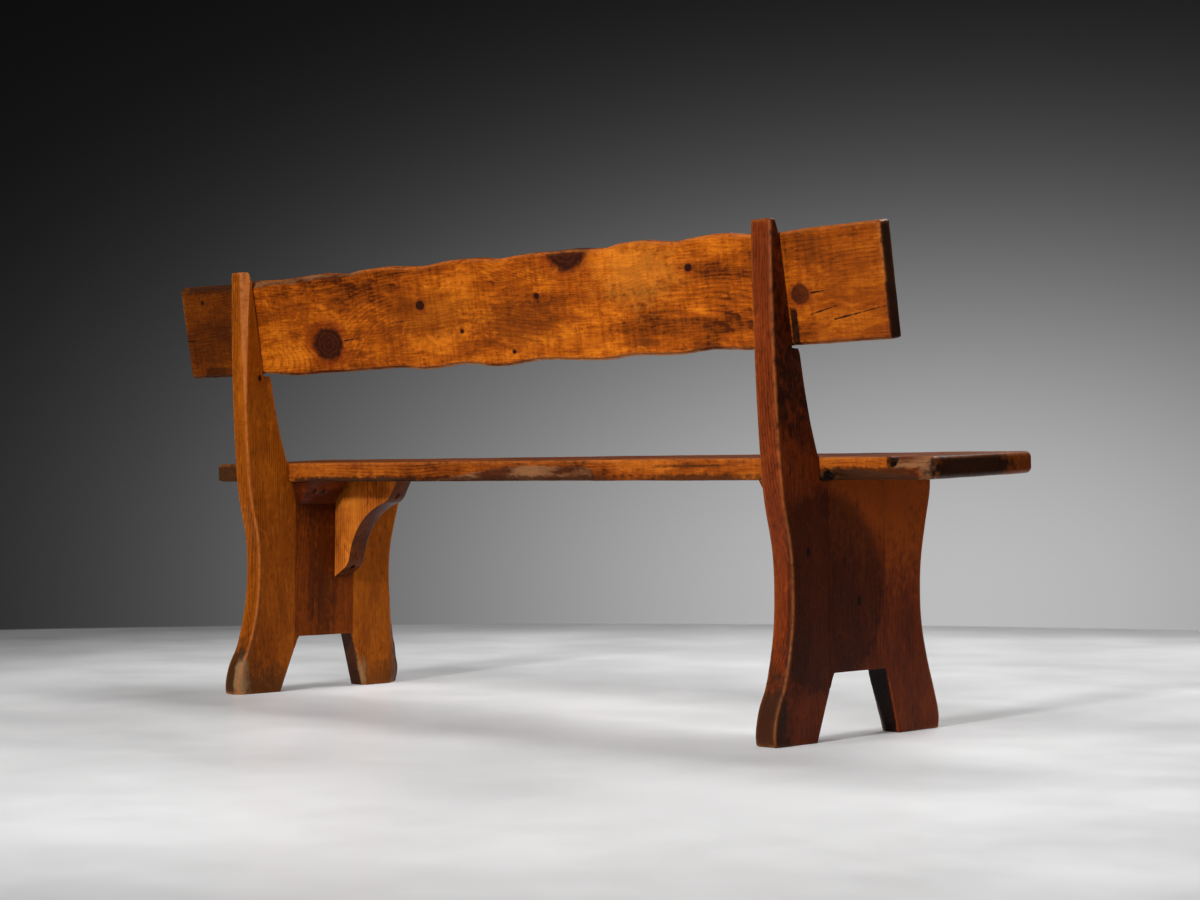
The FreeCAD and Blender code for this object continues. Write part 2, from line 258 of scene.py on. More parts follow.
# %% [markdown]
# ## Drying checks and patches
#
# Old pine splits along the grain as it dries, and dirt settles where hands and neighbours touch
# it. A check is everything within a hair of a straight line between two points. A patch is
# everything inside a soft box or a soft oval, with a ragged border so that it doesn't look
# stamped. Patches carry dirt, and also painted shade and painted light where the bench's shadows
# and lit areas fell.
# %% Node group: drying check
check, come, go = new_group("drying_check", ("Vector", "Start", "End"), ("Width", "Ragged"), ("Mask",))
line = vector_calc(check, "SUBTRACT", come["End"], come["Start"])
offset = vector_calc(check, "SUBTRACT", come["Vector"], come["Start"])
share = calc(check, "DIVIDE", vector_calc(check, "DOT_PRODUCT", offset, line),
             vector_calc(check, "DOT_PRODUCT", line, line))
kept = add(check, "ShaderNodeClamp", share).outputs[0]
nearest = add(check, "ShaderNodeVectorMath", line, settings={"operation": "SCALE"}, Scale=kept).outputs[0]
wiggle = swing(check, come["Ragged"], 0.004)
gap = calc(check, "ADD", vector_calc(check, "DISTANCE", offset, nearest), wiggle)
taper = calc(check, "MULTIPLY", come["Width"], ramp(check, share, 0.3, 1.0, 1.0, 0.3))
feed(check, go["Mask"], ramp(check, calc(check, "DIVIDE", gap, taper), 0.5, 1.2, 1.0, 0.0))

# %% Node group: patch
patch, come, go = new_group("patch", ("Vector", "Centre", "Half Size"), ("Roundness", "Softness", "Ragged"),
                            ("Mask",))
apart = vector_calc(patch, "SUBTRACT", come["Vector"], come["Centre"])
inside = vector_calc(patch, "ABSOLUTE", vector_calc(patch, "DIVIDE", apart, come["Half Size"]))
parts = add(patch, "ShaderNodeSeparateXYZ", inside).outputs
boxy = calc(patch, "MAXIMUM", parts[0], calc(patch, "MAXIMUM", parts[1], parts[2]))
rounding = calc(patch, "SUBTRACT", vector_calc(patch, "LENGTH", inside), boxy)
farthest = calc(patch, "MULTIPLY_ADD", rounding, come["Roundness"], boxy)
half_soft = calc(patch, "MULTIPLY", come["Softness"], 0.5)
border = swing(patch, come["Ragged"], calc(patch, "MULTIPLY", half_soft, 5.0))
full = calc(patch, "SUBTRACT", 1.0, half_soft)
none = calc(patch, "ADD", 1.0, half_soft)
feed(patch, go["Mask"], ramp(patch, calc(patch, "ADD", farthest, border), full, none, 1.0, 0.0))

# %% [markdown]
# ## The finish
#
# One recipe serves every board: stain that takes lighter and darker with the figure, knots,
# bark, dirt and patches of painted shade and painted light on top, arrises painted pale as rubbed
# wear and highlight, checks, and a varnish whose gloss changes with the clouds of stain. Each board
# passes its own tone, lay of the grain and list of blemishes and painted light, so no two look the
# same. Knots shorter than pin_knot are loose and black, so they are darkened after the patches.
# The paleness along an arris, part rubbed wear and part painted highlight, isn't found by the
# shader. It is measured on the mesh when the piece is carved and stored as an attribute called
# worn, which doesn't change with the light.
# %% Finish for stained pine
lays = {"along x": (0, 1, 2), "along x, upright": (0, 2, 1), "along y": (1, 2, 0), "along z": (2, 1, 0),
        "along z, crossways": (2, 0, 1)}
knot_brown = paint(42, 16, 8)
knot_red = paint(60, 24, 10)
halo_red = paint(104, 36, 8)
check_black = paint(20, 9, 5)
# The pale of rubbed arrises, which also paints their highlight.
rubbed_and_highlight = paint(178, 102, 46)
bark_grey = paint(122, 82, 52)
# Near black for loose knots and small marks, and for painted shade on the right panel.
soot_and_shade = paint(26, 13, 8)
pin_knot = 0.014


def mixed_in(tree, colour, mask, strength, over):
    """Lays a colour over another one where a mask is."""
    return blend(tree, calc(tree, "MULTIPLY", mask, strength), colour, over)


def pine(name, lay, pale, middle, deep, pith, gap=0.0052, wander=0.05, knots=(), checks=(), dirt_light_and_shade=(),
         saw_marks=0.0, cloudiness=1.0, ring_depth=0.34, gloss=0.38):
    """A varnished pine finish. Knots and checks lie along and across the grain; dirt and patches of painted
    shade and light lie in the room.
    """
    material, tree, shader, place = new_material(name)
    axes = add(tree, "ShaderNodeSeparateXYZ", place).outputs
    grain = add(tree, "ShaderNodeCombineXYZ", *[axes[axis] for axis in lays[lay]]).outputs[0]
    face = vector_calc(tree, "MULTIPLY", grain, (1.0, 1.0, 0.0))
    ragged = mottle(tree, grain, (70.0, 90.0, 90.0), 4.0, 0.6)

    swirl = core = halo = inner_rings = pin = split = 0.0
    for along, across, half_length, half_width, pull in knots:
        found = use(tree, knot, Vector=face, Centre=(along, across, 0.0),
                    Half_Size=(half_length, half_width, 1.0), Pull=pull, Ragged=ragged)
        swirl = calc(tree, "ADD", swirl, found["Swirl"])
        core = calc(tree, "MAXIMUM", core, found["Core"])
        halo = calc(tree, "MAXIMUM", halo, found["Halo"])
        if half_length < pin_knot:
            pin = calc(tree, "MAXIMUM", pin, found["Core"])
        rings_here = calc(tree, "MULTIPLY", found["Inner Rings"], found["Core"])
        inner_rings = calc(tree, "MAXIMUM", inner_rings, rings_here)
    for start, end, width in checks:
        found = use(tree, check, Vector=face, Start=start + (0.0,), End=end + (0.0,), Width=width,
                    Ragged=ragged)
        split = calc(tree, "MAXIMUM", split, found["Mask"])

    figure = use(tree, timber, Vector=grain, Pith=(0.0,) + pith, Swirl=swirl, Ring_Gap=gap, Wander=wander)
    worn, bark = [add(tree, "ShaderNodeAttribute", settings={"attribute_name": layer}).outputs["Fac"]
                  for layer in ("worn", "bark")]
    blotches = mottle(tree, grain, (3.0, 8.0, 8.0), 3.0, 0.55)
    saw = mottle(tree, grain, (105.0, 8.0, 8.0), 3.0, 0.6)
    flecks = ramp(tree, mottle(tree, grain, (90.0, 160.0, 160.0), 3.0, 0.6), 0.52, 0.75)
    pits = ramp(tree, mottle(tree, grain, (190.0, 300.0, 300.0), 2.0), 0.64, 0.72)
    stain = ramp(tree, figure["Clouds"], 0.3, 0.72, 0.1 - 0.1 * cloudiness, 0.1 + 0.4 * cloudiness)
    depth = weighted(
        tree, 0.01, (figure["Rings"], ring_depth), (figure["Fibre"], 0.28), (flecks, 0.3), (stain, 1.0),
        (ramp(tree, blotches, 0.3, 0.7, -0.15 * cloudiness, 0.22 * cloudiness), 1.0),
        (ramp(tree, saw, 0.35, 0.7, -0.5, 1.0), saw_marks), (figure["Curl"], -0.26))
    tone = add(tree, "ShaderNodeValToRGB", depth)
    tone.color_ramp.elements.new(0.45)
    for element, colour in zip(tone.color_ramp.elements, (pale, middle, deep)):
        element.color = colour + (1.0,)

    colour = mixed_in(tree, tone.outputs[0], halo, 0.6, halo_red)
    colour = blend(tree, core, colour, blend(tree, inner_rings, knot_brown, knot_red))
    bare = blend(tree, ramp(tree, figure["Clouds"], 0.45, 0.62), bark_grey, deep)
    colour = mixed_in(tree, colour, bark, 0.9, bare)
    # Patches of dirt, painted shade and painted light, as listed with each finish.
    for centre, half_size, roundness, softness, patch_colour, strength in dirt_light_and_shade:
        found = use(tree, patch, Vector=place, Centre=centre, Half_Size=half_size, Roundness=roundness,
                    Softness=softness, Ragged=ragged)
        colour = mixed_in(tree, colour, found["Mask"], strength, patch_colour)
    # Arrises are painted pale: rubbed wear and painted highlight.
    wear_highlight_strength = ramp(tree, ragged, 0.3, 0.6, 0.15, 0.75)
    for mask, strength, over in ((pin, 0.8, soot_and_shade), (worn, wear_highlight_strength, rubbed_and_highlight),
                                 (split, 0.92, check_black), (pits, 0.4, deep)):
        colour = mixed_in(tree, colour, mask, strength, over)
    feed(tree, shader["Base Color"], colour)

    dullness = weighted(tree, gloss - 0.1, (figure["Clouds"], 0.2), (bark, 0.25), (split, 0.3))
    feed(tree, shader["Roughness"], dullness)
    shader["Specular IOR Level"].default_value = 0.05
    shader["Coat Weight"].default_value = 0.025
    shader["Coat Roughness"].default_value = 0.12
    height = weighted(tree, 0.0, (figure["Rings"], 0.3), (figure["Fibre"], -0.25), (saw, saw_marks * 1.5),
                      (ragged, 0.7), (split, -1.2), (pits, -1.2))
    bump = add(tree, "ShaderNodeBump", Strength=0.55, Distance=0.0009, Height=height)
    feed(tree, shader["Normal"], bump.outputs[0])
    print("finish", name, len(tree.nodes), "nodes")
    return material

# %% [markdown]
# ## Floor, backdrop and lamps
#
# The studio has a pale floor that ends in front of a grey sweep. A modelled wall would stand in
# the way when the bench is looked at from the front, so the floor is a disc with a soft rim, most
# of it on the photographer's side. It darkens away from the bench, as the light there did. The
# sweep is painted on the world, where only the camera and reflections see it. It is dark at the
# top and at the sitter's left, and lighter towards the floor.
# %% Floor
floor_centre = Vector((-1.47, 1.5, 0.0))
floor_radius = 4.76
half_rim = 0.05
pool_centre = (-0.3, -0.5, 0.0)
pool_radius = 1.6
pool_end = 2.9


def plain_floor():
    bm = bmesh.new()
    bmesh.ops.create_circle(bm, cap_ends=True, radius=floor_radius + 4 * half_rim, segments=128)
    bmesh.ops.translate(bm, vec=floor_centre, verts=bm.verts)
    floor = as_object(bm, "studio_floor")
    material, tree, shader, place = new_material("pale_floor")
    scuffs = mottle(tree, place, (2.5, 2.5, 2.5), 6.0, 0.62)
    from_pool = vector_calc(tree, "DISTANCE", place, pool_centre)
    white = calc(tree, "MULTIPLY", ramp(tree, scuffs, 0.3, 0.7, 0.79, 0.85),
                 ramp(tree, from_pool, pool_radius, pool_end, 1.0, 0.4))
    feed(tree, shader["Base Color"], add(tree, "ShaderNodeCombineXYZ", white, white, white).outputs[0])
    feed(tree, shader["Roughness"], ramp(tree, scuffs, 0.3, 0.7, 0.3, 0.42))
    shader["Specular IOR Level"].default_value = 0.35
    from_centre = vector_calc(tree, "DISTANCE", place, floor_centre)
    rim = ramp(tree, from_centre, floor_radius - half_rim, floor_radius + half_rim, 1.0, 0.0)
    feed(tree, shader["Alpha"], rim)
    floor.data.materials.append(material)
    floor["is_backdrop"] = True


plain_floor()
print("floor radius", floor_radius, "round", tuple(floor_centre))

# %% [markdown]
# The sweep is brightest low down behind the bench's right half and fades to both sides and
# upwards like a bell. Outside the camera's field it is an even grey, so that the bench can be
# looked at from anywhere.
# %% World
into_picture = (0.688, -0.726, 0.0)
picture_right = (-0.726, -0.688, 0.0)
sweep_foot = -0.044
sweep_peak = 0.49
sweep_dark = 0.0037
room_glow = 0.063


def bell(tree, value, centre, spread):
    """1 at the centre, falling smoothly to 0 on both sides."""
    apart = calc(tree, "DIVIDE", calc(tree, "SUBTRACT", value, centre), spread)
    return calc(tree, "EXPONENT", calc(tree, "MULTIPLY", calc(tree, "MULTIPLY", apart, apart), -1.0))


world = bpy.data.worlds.new("grey_sweep")
world.use_nodes = True
bpy.context.scene.world = world
sky = world.node_tree
way = add(sky, "ShaderNodeTexCoord").outputs["Generated"]
height = calc(sky, "MAXIMUM", add(sky, "ShaderNodeSeparateXYZ", way).outputs[2], sweep_foot)
sideways = bell(sky, vector_calc(sky, "DOT_PRODUCT", way, picture_right), 0.151, 0.235)
upwards = bell(sky, height, sweep_foot, 0.128)
ahead = ramp(sky, vector_calc(sky, "DOT_PRODUCT", way, into_picture), 0.82, 0.93)
ray = add(sky, "ShaderNodeLightPath").outputs
elsewhere = calc(sky, "MULTIPLY", ray["Is Camera Ray"], 0.45)
across = between(sky, ahead, elsewhere, sideways)
sweep = calc(sky, "MULTIPLY_ADD", calc(sky, "MULTIPLY", across, upwards), sweep_peak, sweep_dark)
seen = calc(sky, "MAXIMUM", calc(sky, "MAXIMUM", ray["Is Camera Ray"], ray["Is Glossy Ray"]),
            ray["Is Transmission Ray"])
level = between(sky, seen, room_glow, sweep)
grey = add(sky, "ShaderNodeCombineXYZ", level, level, level).outputs[0]
feed(sky, sky.nodes["Background"].inputs["Color"], grey)
print("room glow", room_glow)

# %% [markdown]
# Two wide softboxes hang overhead, one behind the bench and one in front of it, so that the floor
# under the seat stays light. A small lamp with a narrow beam stands behind the photographer, and
# a weak one lights the front. One lamp could light the bench, but its shadow would be too hard.
# Each power was solved from pictures that had one lamp on at a time.
# %% Lamps
def softbox(name, at, aim, width, height, power, spread=180.0):
    """A lamp at a place, aimed at another. The power is in watts and the spread in degrees."""
    lamp = bpy.data.lights.new(name, "AREA")
    lamp.shape = "RECTANGLE"
    lamp.size = width
    lamp.size_y = height
    lamp.energy = power
    lamp.spread = math.radians(spread)
    holder = bpy.data.objects.new(name, lamp)
    holder.location = at
    holder.rotation_euler = (Vector(aim) - Vector(at)).to_track_quat("-Z", "Y").to_euler()
    bpy.context.collection.objects.link(holder)


softbox("key", (-1.1, 5.8, 2.1), (-0.3, -0.6, 0.2), width=0.5, height=0.5, power=37.0, spread=64.0)
softbox("high_back", (-0.4, 3.0, 3.6), (-0.3, -0.4, 0.0), width=3.4, height=1.6, power=102.0)
softbox("high_front", (-0.2, -2.8, 3.6), (-0.3, -0.2, 0.0), width=3.4, height=1.6, power=150.0)
softbox("front_fill", (-2.2, -4.0, 1.8), (0.0, 0.0, 0.4), width=1.6, height=1.2, power=3.5)
print("lamps:", [lamp.name for lamp in bpy.data.lights])

# %% [markdown]
# ## Carving tools
#
# Every plank starts as a cube that is cut into a lattice and stretched to a sawn blank, with its
# cutting lines crowded where an arris has to be rounded. Each vertex is then moved the way a
# carver would work: the corners are rubbed round, the faces get the slight waves that a hand
# plane leaves, and the blank is laid in its place on the bench. A voxel remesh could also round
# the arrises, but it would blur the splits and bark edges that give the bench its character.
# %% Blanks
crease = math.radians(48)


def even(start, stop, step):
    """Evenly spaced cutting lines, both ends included."""
    count = max(1, round(abs(stop - start) / step))
    return [start + (stop - start) * index / count for index in range(count + 1)]


def crowded(size, count, ease=0.85):
    """Cutting lines that crowd towards both ends, where the arrises are."""
    lines = []
    for index in range(count + 1):
        share = index / count
        lines.append(size * (share * (1 - ease) + ease * (1 - math.cos(math.pi * share)) / 2))
    return lines


def blank(along, across, through):
    """A cube cut into a lattice by three lists of cutting lines."""
    bm = bmesh.new()
    bmesh.ops.create_cube(bm, size=1.0)
    all_lines = (along, across, through)
    for axis, lines in enumerate(all_lines):
        edges = [edge for edge in bm.edges
                 if abs(edge.verts[0].co[axis] - edge.verts[1].co[axis]) > 1e-4]
        bmesh.ops.subdivide_edges(bm, edges=edges, cuts=len(lines) - 2, use_grid_fill=True)
    for vert in bm.verts:
        steps = [round((vert.co[axis] + 0.5) * (len(lines) - 1)) for axis, lines in enumerate(all_lines)]
        vert.co = Vector([lines[step] for step, lines in zip(steps, all_lines)])
    return bm


def wear_highlight_and_bark_layers(bm):
    """Two numbers on every vertex: how pale an arris is painted, for rubbed wear and painted highlight, and
    how much like bark.
    """
    return [bm.verts.layers.float.new(name) for name in ("worn", "bark")]


def rounded(point, size, radius):
    """Moves a point of the skin in to a rounded arris. Also gives the way out of the wood."""
    core = Vector([min(max(value, radius), length - radius) for value, length in zip(point, size)])
    out = (point - core).normalized()
    return core + out * radius, out


def near_arris(point, size, reach):
    """1 on an arris of the blank, falling to 0 a reach away from it."""
    gaps = sorted(min(value, length - value) for value, length in zip(point, size))
    return math.exp(-(gaps[1] / reach) ** 2)


def follow(points, at):
    """The height of a smooth curve through (place, height) points, given in rising order."""
    if at <= points[0][0]:
        return points[0][1]
    if at >= points[-1][0]:
        return points[-1][1]
    index = max(i for i, point in enumerate(points) if point[0] <= at)
    index = min(index, len(points) - 2)

    def slope(i):
        before, after = points[max(i - 1, 0)], points[min(i + 1, len(points) - 1)]
        return (after[1] - before[1]) / (after[0] - before[0])

    (x0, y0), (x1, y1) = points[index], points[index + 1]
    span = x1 - x0
    t = (at - x0) / span
    return (y0 * (1 + 2 * t) * (1 - t) ** 2 + slope(index) * span * t * (1 - t) ** 2
            + y1 * t * t * (3 - 2 * t) + slope(index + 1) * span * t * t * (t - 1))


def linear(points, at):
    """The same with straight lines between the points."""
    for (x0, y0), (x1, y1) in zip(points, points[1:]):
        if at <= x1:
            return y0 + (y1 - y0) * max(0.0, (at - x0) / (x1 - x0))
    return points[-1][1]


def ripple(point, scale, seed=0.0):
    return noise.noise(Vector((point[0] * scale[0] + seed, point[1] * scale[1], point[2] * scale[2])))


def finish_piece(name, bm, material, stands_for):
    """Turns a carved mesh into a piece that rides on the bench and stands for its CAD solids."""
    bmesh.ops.recalc_face_normals(bm, faces=bm.faces)
    piece = as_object(bm, name)
    piece.data.materials.append(material)
    piece.data.shade_smooth()
    piece.data.set_sharp_from_angle(angle=crease)
    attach(piece, "root")
    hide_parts(*stands_for)
    print(f"{name}: {len(piece.data.polygons)} faces for {', '.join(stands_for)}")
    return piece

# %% [markdown]
# ## The seat
#
# The seat is one thick plank that leans back a little. Its front arris is a soft nose, but its
# rear edge is rough: bark edge is missing under the middle and towards both ends, a corner has
# split off past the right panel, and a hole gapes beside the post. Cutting these with booleans
# would leave sharp outlines, so each one is a rule that pushes the lattice in.
# %% Seat finish
rear_y = 0.0975
seat_finish = pine(
    "seat_pine_finish", "along x", paint(160, 84, 22), paint(124, 57, 12), paint(58, 23, 6),
    pith=(0.02, 0.34), gap=0.0048, wander=0.06, saw_marks=0.1, ring_depth=0.28, gloss=0.3,
    knots=((0.62, -0.02, 0.017, 0.012, 2.0), (0.21, -0.12, 0.01, 0.007, 2.0),
           (-0.16, 0.03, 0.019, 0.014, 2.0), (-0.47, -0.09, 0.012, 0.009, 2.0),
           (-0.9, 0.105, 0.034, 0.024, 1.4), (0.4, 0.06, 0.008, 0.006, 2.0)),
    checks=(((0.883, -0.05), (0.72, -0.044), 0.0014), ((-0.13, 0.035), (-0.03, 0.04), 0.0012)),
    dirt_light_and_shade=(((0.04, rear_y, 0.4145), (0.27, 0.03, 0.008), 0.2, 0.7, paint(50, 24, 10), 0.8),
          ((-0.42, rear_y, 0.4165), (0.13, 0.012, 0.007), 0.4, 0.9, paint(52, 27, 12), 0.85),
          ((-0.40, rear_y, 0.4375), (0.075, 0.012, 0.0022), 0.3, 0.9, paint(56, 30, 14), 0.8),
          ((-0.64, rear_y, 0.4225), (0.028, 0.012, 0.011), 0.1, 0.5, paint(44, 26, 14), 0.85),
          ((-0.77, rear_y, 0.4175), (0.11, 0.035, 0.0155), 0.2, 0.5, paint(42, 20, 9), 0.88),
          # Painted shade: near black inside the hole beside the post.
          ((-0.682, rear_y, 0.4195), (0.011, 0.03, 0.009), 0.7, 0.4, paint(8, 5, 3), 0.97),
          # Painted shade: near black inside the split at the right end.
          ((-0.8085, rear_y, 0.4405), (0.006, 0.03, 0.009), 0.6, 0.5, paint(16, 8, 5), 0.95),
          # Painted shade on the seat's right end face: near black, less dark towards the front.
          ((-0.884, -0.19, 0.43), (0.02, 0.06, 0.035), 0.1, 0.9, paint(104, 44, 10), 0.85),
          ((-0.884, -0.02, 0.43), (0.012, 0.105, 0.035), 0.3, 0.5, paint(26, 12, 7), 0.92),
          ((0.884, 0.0, 0.43), (0.012, 0.12, 0.035), 0.3, 0.6, paint(44, 24, 14), 0.8),
          ((0.44, rear_y, 0.4125), (0.22, 0.03, 0.010), 0.2, 0.6, paint(40, 19, 8), 0.85),
          ((0.82, rear_y, 0.43), (0.14, 0.03, 0.05), 0.1, 0.3, paint(46, 32, 20), 0.88)))

# %% Seat rules
seat_size = Vector((1.766, 0.287, 0.037))
seat_hinge = Vector((0.0, rear_y, 0.4125))
seat_tilt = math.radians(2.4)
right_end = -0.883
middle_wane = ((-0.182, 0.0), (-0.172, 0.024), (-0.10, 0.028), (0.0, 0.029), (0.054, 0.026), (0.13, 0.017),
               (0.19, 0.007), (0.262, 0.0))
left_wane = ((0.27, 0.0), (0.31, 0.005), (0.38, 0.009), (0.43, 0.005), (0.50, 0.008), (0.56, 0.010),
             (0.61, 0.005), (0.655, 0.0))
end_wane = ((-0.86, 0.004), (-0.80, 0.012), (-0.74, 0.018), (-0.69, 0.019), (-0.672, 0.012), (-0.66, 0.0))
torn_width = ((-0.883, 0.012), (-0.872, 0.018), (-0.815, 0.0195), (-0.806, 0.016), (-0.803, 0.0))
torn_inset = 1.15
wanes = ((middle_wane, 0.34, 0.0), (left_wane, 0.6, 2.0), (end_wane, 0.65, 5.0))
gnarl_at = Vector((-0.884, 0.098, 0.43))
gnarl_reach = 0.026
gnarl_depth = 0.0035
rear_radius = 0.0028
nose_radius = 0.011
end_radius = 0.008
dents = ((-0.6805, 0.010, 0.009, 0.010, 0.014), (-0.700, 0.004, 0.02, 0.007, 0.006),
         (-0.8085, 0.029, 0.005, 0.011, 0.012), (0.150, 0.034, 0.004, 0.002, 0.003),
         (0.108, 0.0315, 0.003, 0.002, 0.003), (-0.24, 0.03, 0.003, 0.002, 0.003),
         (-0.31, 0.033, 0.002, 0.002, 0.003))


def chamfer(point, side_gap, level_gap, side, level):
    """How far a point lies beyond a slanting plane that cuts an arris off, and 0 behind the plane."""
    return max(0.0, 1.0 - side_gap / side - level_gap / level) if min(side, level) > 0.0005 else 0.0


def seat_place(point):
    back = point.y - seat_size.y
    return Vector((right_end + point.x,
                   seat_hinge.y + back * math.cos(seat_tilt) + point.z * math.sin(seat_tilt),
                   seat_hinge.z - back * math.sin(seat_tilt) + point.z * math.cos(seat_tilt)))


def carve_seat():
    bm = blank(even(0.0, seat_size.x, 0.0035), crowded(seat_size.y, 36), crowded(seat_size.z, 16, 0.45))
    worn, bark = wear_highlight_and_bark_layers(bm)
    for vert in bm.verts:
        point = vert.co.copy()
        x = right_end + point.x
        front = 1.0 - point.y / seat_size.y
        near_end = min(point.x, seat_size.x - point.x)
        radius = rear_radius + (nose_radius - rear_radius) * max(0.0, front * 2.0 - 1.0)
        radius = max(radius, end_radius * math.exp(-(near_end / 0.02) ** 2))
        # Only the top arrises are painted pale: rubbed wear, and a painted highlight where the top catches
        # the light.
        edge = 0.6 * near_arris(point, seat_size, 0.005) * (point.z / seat_size.z) ** 2
        moved, out = rounded(point, seat_size, radius)
        planed = 0.0005 * ripple(moved, (9.0, 14.0, 9.0)) + 0.00015 * ripple(moved, (60.0, 60.0, 60.0))
        moved -= out * (0.0005 + planed)
        rear_gap = seat_size.y - point.y
        top_gap = seat_size.z - point.z
        for outline, slope, seed in wanes:
            reach = linear(outline, x) * (1.0 + 0.14 * ripple(point, (45.0, 1.0, 1.0), seed))
            short = chamfer(point, rear_gap, point.z, reach * slope, reach)
            moved.y -= short * reach * slope * 0.62
            moved.z += short * reach * 0.1
            vert[bark] = max(vert[bark], min(1.0, short * 9.0))
        torn = linear(torn_width, x) * (1.0 + 0.06 * ripple(point, (120.0, 1.0, 1.0), 4.0))
        short = chamfer(point, rear_gap, top_gap, torn * torn_inset, torn)
        splinter = 1.0 + 0.12 * ripple(point, (40.0, 420.0, 420.0), 3.0)
        moved.y -= short * torn * torn_inset * 0.5 * splinter
        moved.z -= short * torn * 0.5 * splinter
        vert[bark] = max(vert[bark], min(1.0, short * 8.0))
        gnarl = max(0.0, 1.0 - (seat_place(moved) - gnarl_at).length / gnarl_reach)
        moved -= out * gnarl * gnarl_depth * (0.6 + ripple(moved, (210.0, 210.0, 210.0), 7.0))
        vert[bark] = max(vert[bark], min(1.0, gnarl * 2.5))
        if rear_gap < 0.001:
            for at_x, at_z, half_x, half_z, depth in dents:
                off = ((x - at_x) / half_x) ** 2 + ((point.z - at_z) / half_z) ** 2
                if off < 1.0:
                    moved.y -= depth * (1.0 - off) ** 0.6
            moved.y -= 0.001 * max(0.0, ripple(point, (150.0, 1.0, 320.0), 9.0) - 0.1)
        vert[worn] = edge * (1.0 - vert[bark])
        vert.co = seat_place(moved)
    return bm


finish_piece("seat_plank", carve_seat(), seat_finish, ["seat"])

# %% [markdown]
# ## The back plank
#
# The back plank was sawn from a log with its bark edges left on, so both long edges wander and the
# upper one still shows bark-side wood near the sitter's left. The outline is two lists of heights
# read along the plank. A bevel would take an even strip off the arris, but bark comes away
# unevenly, so its width follows a third list.
# %% Back plank finish
plank_finish = pine(
    "back_pine_finish", "along x, upright", paint(184, 98, 18), paint(138, 63, 8), paint(62, 23, 4),
    pith=(0.66, 0.10), gap=0.005, wander=0.07, saw_marks=0.12, cloudiness=1.25, ring_depth=0.22,
    knots=((0.447, 0.6735, 0.046, 0.034, 1.6), (0.178, 0.731, 0.0125, 0.009, 3.0),
           (0.076, 0.680, 0.005, 0.004, 6.0), (-0.120, 0.731, 0.007, 0.0055, 4.0),
           (-0.050, 0.639, 0.0045, 0.0035, 4.0),
           (-0.202, 0.808, 0.052, 0.043, 1.5), (-0.471, 0.7565, 0.0085, 0.007, 5.0),
           (-0.694, 0.7015, 0.019, 0.017, 1.4), (0.816, 0.770, 0.005, 0.004, 3.0)),
    checks=(((0.399, 0.677), (0.339, 0.6815), 0.0016), ((-0.715, 0.7025), (-0.757, 0.7055), 0.0014),
            ((-0.709, 0.669), (-0.769, 0.682), 0.0012), ((-0.756, 0.660), (-0.858, 0.676), 0.0012),
            ((0.884, 0.697), (0.834, 0.695), 0.0013), ((0.27, 0.702), (0.20, 0.706), 0.0009),
            ((0.447, 0.6735), (0.43, 0.650), 0.0009), ((0.447, 0.6735), (0.47, 0.69), 0.0009)),
    # Near black on the plank's back beside the right post.
    dirt_light_and_shade=(((-0.6775, 0.165, 0.652), (0.0065, 0.02, 0.029), 0.0, 0.2, paint(13, 8, 6), 0.94),
          ((0.80, 0.165, 0.632), (0.036, 0.02, 0.010), 0.2, 0.5, paint(28, 15, 9), 0.85),
          # Darker over the plank's left end.
          ((0.80, 0.19, 0.715), (0.115, 0.05, 0.13), 0.0, 0.35, paint(62, 27, 6), 0.72),
          ((-0.36, 0.165, 0.641), (0.035, 0.02, 0.006), 0.8, 1.0, paint(60, 27, 8), 0.5),
          ((-0.78, 0.19, 0.715), (0.09, 0.05, 0.13), 0.2, 0.8, paint(96, 42, 7), 0.4),
          ((0.76, 0.19, 0.797), (0.115, 0.02, 0.01), 0.2, 0.8, paint(48, 22, 10), 0.75),
          ((0.16, 0.175, 0.715), (0.12, 0.02, 0.045), 0.8, 0.9, paint(92, 40, 7), 0.5),
          ((-0.08, 0.175, 0.69), (0.10, 0.02, 0.04), 0.8, 0.9, paint(84, 36, 7), 0.5),
          ((-0.36, 0.185, 0.755), (0.08, 0.05, 0.05), 1.0, 1.2, paint(200, 120, 36), 0.35),
          # Painted shade on the plank's right end face.
          ((-0.863, 0.165, 0.70), (0.0065, 0.045, 0.12), 0.0, 0.3, paint(34, 17, 11), 0.92)))

# %% Back plank
plank_size = Vector((1.742, 0.182, 0.028))
plank_foot = Vector((-0.859, 0.1612, 0.6235))
lean = math.atan2(31.5, 180.5)
up_plank = Vector((0.0, math.sin(lean), math.cos(lean)))
towards_sitter = Vector((0.0, -math.cos(lean), math.sin(lean)))
top_edge = ((-0.859, -0.7), (-0.833, -0.1), (-0.778, -1.2), (-0.716, -1.7), (-0.654, -4.5), (-0.589, -3.1),
            (-0.565, 0.3), (-0.523, 2.8), (-0.480, 0.2), (-0.439, -3.0), (-0.374, 3.4), (-0.329, 3.4),
            (-0.282, -2.4), (-0.220, 1.2), (-0.168, 0.6), (-0.095, 0.6), (-0.022, -3.1), (0.027, 2.1),
            (0.087, 2.6), (0.167, -2.8), (0.221, -1.1), (0.267, 2.0), (0.329, 0.5), (0.387, -3.3),
            (0.456, 1.1), (0.573, -2.9), (0.672, -0.7), (0.742, -2.4), (0.883, -0.6))
